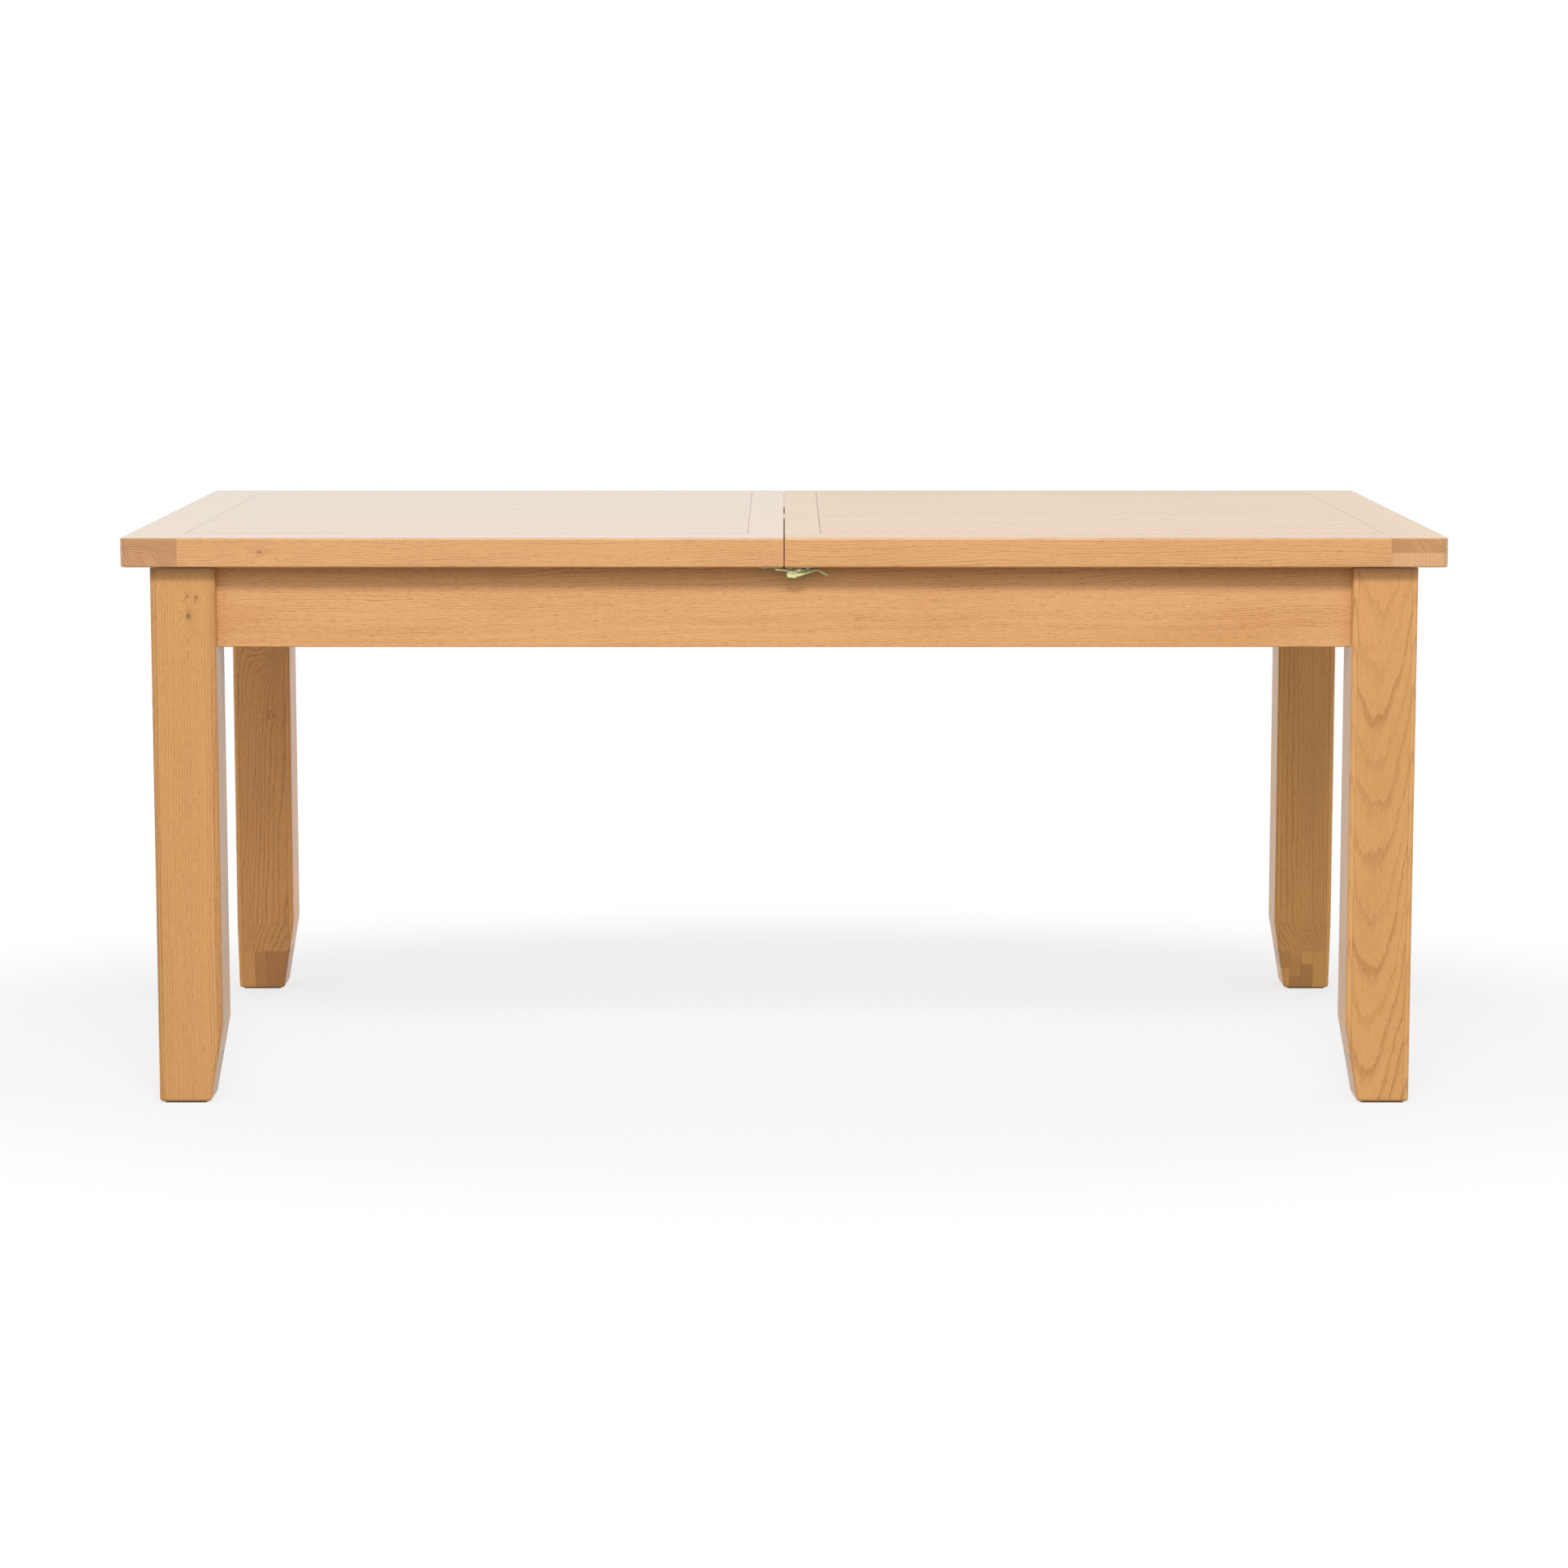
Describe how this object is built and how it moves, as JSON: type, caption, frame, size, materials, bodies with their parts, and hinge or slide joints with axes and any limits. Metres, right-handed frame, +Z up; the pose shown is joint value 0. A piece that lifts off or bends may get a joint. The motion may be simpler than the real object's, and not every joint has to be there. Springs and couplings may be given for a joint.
{
  "type": "extendable dining table",
  "caption": "Oak dining table on square tapered legs, with a framed top in two halves that slide apart over a stored folding leaf, held shut by draw latches.",
  "frame": {"origin": "on the floor under the middle of the closed top", "axes": "+X along the table towards the right half, +Y across the table from front to back, +Z up"},
  "size_m": [1.8, 1, 0.784],
  "materials": {
    "oak_planks": "satin lacquer",
    "oak_panel": "satin lacquer",
    "oak_frame": "satin lacquer",
    "beech": "sanded",
    "zinc_steel": "bright zinc",
    "yellow_zinc": "yellow zinc",
    "felt": "felt",
    "rubber": "matt",
    "foot_pad": "matt"
  },
  "bodies": {
    "base": {"apron_back": "oak_frame", "apron_front": "oak_frame", "apron_left": "oak_frame", "apron_right": "oak_frame", "bearer_back": "beech", "bearer_front": "beech", "corner_block_back_left": "beech", "corner_block_back_right": "beech", "corner_block_front_left": "beech", "corner_block_front_right": "beech", "corner_screws": "zinc_steel", "cross_rail_left": "beech", "cross_rail_right": "beech", "flange_nuts": "zinc_steel", "foot_pads": "foot_pad", "hanger_bolts": "zinc_steel", "leaf_arm_pins": "zinc_steel", "leaf_felt_strips": "felt", "leaf_hinges": "zinc_steel", "leaf_lower_lipping": "oak_planks", "leaf_lower_panel": "oak_panel", "leaf_rests": "beech", "leaf_swing_arms": "zinc_steel", "leaf_upper_lipping": "oak_planks", "leaf_upper_panel": "oak_panel", "leg_back_left": "oak_frame", "leg_back_right": "oak_frame", "leg_front_left": "oak_frame", "leg_front_right": "oak_frame", "slide_bumpers": "rubber"},
    "left_top": {"alignment_dowels": "beech", "latch_keepers": "yellow_zinc", "left_back_rail": "oak_planks", "left_batten_inner": "beech", "left_batten_outer": "beech", "left_centre_plank": "oak_planks", "left_end_plank_lower": "oak_planks", "left_end_plank_upper": "oak_planks", "left_front_rail": "oak_planks", "left_panel": "oak_panel", "left_screws": "zinc_steel", "left_slide_back": "beech", "left_slide_front": "beech"},
    "right_top": {"latch_bases": "yellow_zinc", "latch_pins": "yellow_zinc", "right_back_rail": "oak_planks", "right_batten_inner": "beech", "right_batten_outer": "beech", "right_centre_plank": "oak_planks", "right_end_plank_lower": "oak_planks", "right_end_plank_upper": "oak_planks", "right_front_rail": "oak_planks", "right_panel": "oak_panel", "right_screws": "zinc_steel", "right_slide_back": "beech", "right_slide_front": "beech"},
    "front_lever": {"front_lever": "yellow_zinc"},
    "front_bail": {"front_bail": "yellow_zinc"},
    "back_lever": {"back_lever": "yellow_zinc"},
    "back_bail": {"back_bail": "yellow_zinc"}
  },
  "joints": [
    {"name": "left_slide", "type": "slide", "parent": "base", "child": "left_top", "axis": [-1, 0, 0], "range_m": [0, 0.25]},
    {"name": "right_slide", "type": "slide", "parent": "base", "child": "right_top", "axis": [1, 0, 0], "range_m": [0, 0.25]},
    {"name": "front_lever_pivot", "type": "hinge", "parent": "right_top", "child": "front_lever", "pos_m": [0.0075, -0.48, 0.734], "axis": [0, 1, 0], "range_deg": [0, 120]},
    {"name": "front_bail_pivot", "type": "hinge", "parent": "front_lever", "child": "front_bail", "pos_m": [0.0185, -0.48, 0.7368], "axis": [0, 1, 0], "range_deg": [-120, 0]},
    {"name": "back_lever_pivot", "type": "hinge", "parent": "right_top", "child": "back_lever", "pos_m": [0.0075, 0.48, 0.734], "axis": [0, 1, 0], "range_deg": [0, 120]},
    {"name": "back_bail_pivot", "type": "hinge", "parent": "back_lever", "child": "back_bail", "pos_m": [0.0185, 0.48, 0.7368], "axis": [0, 1, 0], "range_deg": [-120, 0]}
  ],
  "couplings": [
    {"joint": "front_bail_pivot", "follows": "front_lever_pivot", "ratio": -1},
    {"joint": "back_bail_pivot", "follows": "back_lever_pivot", "ratio": -1}
  ]
}
